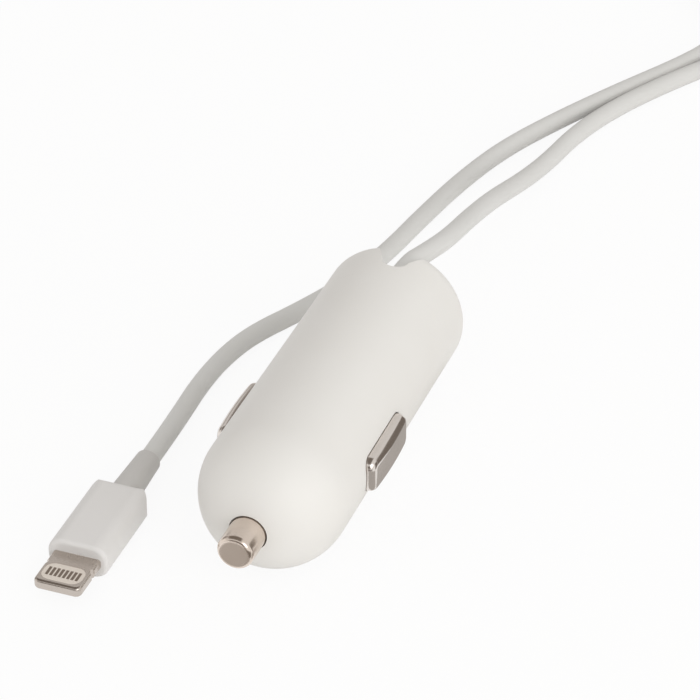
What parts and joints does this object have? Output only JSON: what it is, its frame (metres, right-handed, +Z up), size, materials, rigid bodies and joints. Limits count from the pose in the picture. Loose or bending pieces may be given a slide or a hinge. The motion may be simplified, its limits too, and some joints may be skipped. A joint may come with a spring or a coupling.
{
  "type": "car charger plug",
  "caption": "Round-nosed vehicle socket charger plug with a sprung centre tip, sprung side contacts, a fixed cord and a flat phone connector, lying on a table.",
  "frame": {"origin": "point on the table under the middle of the plug, which is the bottom centre of the plug's own box without its cord and phone connector", "axes": "+Y along the plug's axis from the centre tip to the cord outlet, +Z up from the table, +X to the right seen from behind the plug"},
  "size_m": [0.0715, 0.2188, 0.0204],
  "materials": {
    "white_shell": "satin moulded white",
    "plated_contact": "polished nickel plate with a warm tint",
    "spring_steel": "drawn spring steel",
    "terminal_brass": "plain stamped brass",
    "board_green": "glass-fibre board with solder mask",
    "ceramic_tan": "fired ceramic",
    "can_metal": "drawn can",
    "moulded_black": "moulded epoxy",
    "ferrite_grey": "sintered ferrite",
    "winding_copper": "enamelled copper wire",
    "cord_jacket": "soft satin jacket",
    "lead_red": "insulated wire",
    "lead_black": "insulated wire",
    "tie_clear_white": "soft band",
    "boot_white": "satin moulded white",
    "tongue_metal": "satin plated metal",
    "insulator_cream": "moulded cream",
    "pad_gold": "gold-flashed pads"
  },
  "bodies": {
    "plug": {"housing": "white_shell", "rear_cap": "white_shell", "tip_spring": "spring_steel", "tip_terminal": "terminal_brass", "leaf_spring_right": "spring_steel", "leaf_spring_left": "spring_steel", "ground_strap": "terminal_brass", "main_board": "board_green", "chip_fuse": "ceramic_tan", "input_capacitor": "can_metal", "rectifier_diode": "moulded_black", "output_capacitor": "can_metal", "converter_chip": "moulded_black", "inductor_core": "ferrite_grey", "inductor_winding": "winding_copper", "ceramic_capacitors": "ceramic_tan", "chip_resistors": "moulded_black", "cord_grommet": "cord_jacket", "cord_clamp": "terminal_brass", "supply_lead": "lead_red", "return_lead": "lead_black", "cord_plug_run": "cord_jacket", "cord_connector_run": "cord_jacket", "cord_coil": "cord_jacket", "coil_tie": "tie_clear_white", "connector_boot": "boot_white", "connector_sleeve": "boot_white", "connector_tongue": "tongue_metal", "contact_insulator": "insulator_cream", "upper_contact_pads": "pad_gold", "lower_contact_pads": "pad_gold", "identity_board": "board_green"},
    "tip": {"tip_pin": "plated_contact"},
    "right_contact": {"side_contact_right": "plated_contact"},
    "left_contact": {"side_contact_left": "plated_contact"}
  },
  "joints": [
    {"name": "tip_press", "type": "slide", "parent": "plug", "child": "tip", "axis": [0, 1, 0], "range_m": [0, 0.0025], "stiffness_N_per_m": 1500, "springref_m": -0.003, "deforming": ["tip_spring"]},
    {"name": "right_contact_press", "type": "slide", "parent": "plug", "child": "right_contact", "axis": [-1, 0, 0], "range_m": [0, 0.0014], "stiffness_N_per_m": 2000, "springref_m": -0.0015, "deforming": ["leaf_spring_right"]},
    {"name": "left_contact_press", "type": "slide", "parent": "plug", "child": "left_contact", "axis": [1, 0, 0], "range_m": [0, 0.0014], "stiffness_N_per_m": 2000, "springref_m": -0.0015, "deforming": ["leaf_spring_left"]}
  ]
}
